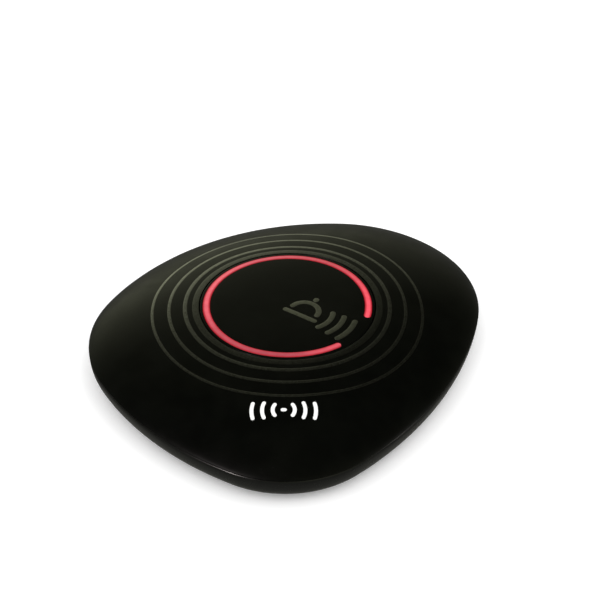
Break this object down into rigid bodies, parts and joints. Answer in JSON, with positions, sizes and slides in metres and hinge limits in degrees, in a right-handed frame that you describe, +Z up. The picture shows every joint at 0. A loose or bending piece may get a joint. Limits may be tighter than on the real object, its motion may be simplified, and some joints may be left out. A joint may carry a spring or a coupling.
{
  "type": "wireless table call button",
  "caption": "Low rounded-triangle call button with a domed cover, a round press disc ringed by a lit arc, a coin cell bay and rubber feet",
  "frame": {"origin": "middle of the plan's bounding box, on the table plane that the feet stand on", "axes": "+Z up along the press axis, +X to the right and +Y away from the user, with the narrowest corner towards -Y"},
  "size_m": [0.0914, 0.0952, 0.0164],
  "materials": {
    "cover": "satin black moulded ABS with fine grey printed rings",
    "disc": "satin black moulded ABS with a dim grey-green printed pictogram",
    "lit_arc": "translucent red polycarbonate light guide, lit from below",
    "lower": "semi-gloss black moulded ABS",
    "door": "semi-gloss black moulded ABS with a coin slot",
    "white_plastic": "white moulded plastic",
    "silicone": "grey translucent silicone",
    "board": "green solder mask",
    "chip": "black epoxy",
    "led": "clear and yellow LED package",
    "steel": "nickel-plated steel",
    "spring_metal": "nickel-plated spring bronze",
    "screw_steel": "zinc-plated steel",
    "copper": "enamelled copper wire",
    "rubber": "matt black rubber"
  },
  "bodies": {
    "case": {"top_cover": "cover", "press_seal": "silicone", "light_shroud": "white_plastic", "circuit_board": "board", "switch_body": "chip", "led_1": "led", "led_2": "led", "led_3": "led", "led_4": "led", "led_5": "led", "led_6": "led", "controller_chip": "chip", "radio_chip": "chip", "crystal_can": "steel", "storage_capacitor": "chip", "antenna_coil": "copper", "coin_cell": "steel", "cell_contact_minus": "spring_metal", "cell_contact_plus": "spring_metal", "case_gasket": "rubber", "lower_case": "lower", "case_screw_1": "screw_steel", "case_screw_2": "screw_steel", "case_screw_3": "screw_steel", "door_seal": "rubber", "foot_1": "rubber", "foot_2": "rubber", "foot_3": "rubber"},
    "press_key": {"press_disc": "disc", "light_ring": "lit_arc", "press_stem": "white_plastic"},
    "plunger": {"switch_plunger": "white_plastic"},
    "door": {"battery_door": "door"}
  },
  "joints": [
    {"name": "press", "type": "slide", "parent": "case", "child": "press_key", "axis": [0, 0, -1], "range_m": [0, 0.0006], "stiffness_N_per_m": 2500, "springref_m": -0.0004, "deforming": ["press_seal"]},
    {"name": "switch_travel", "type": "slide", "parent": "case", "child": "plunger", "axis": [0, 0, -1], "range_m": [0, 0.0006]},
    {"name": "door_turn", "type": "hinge", "parent": "case", "child": "door", "pos_m": [0.0003, 0.00298, 0.0006], "axis": [0, 0, 1], "range_deg": [0, 40]}
  ],
  "couplings": [
    {"joint": "switch_travel", "follows": "press", "ratio": 1}
  ]
}
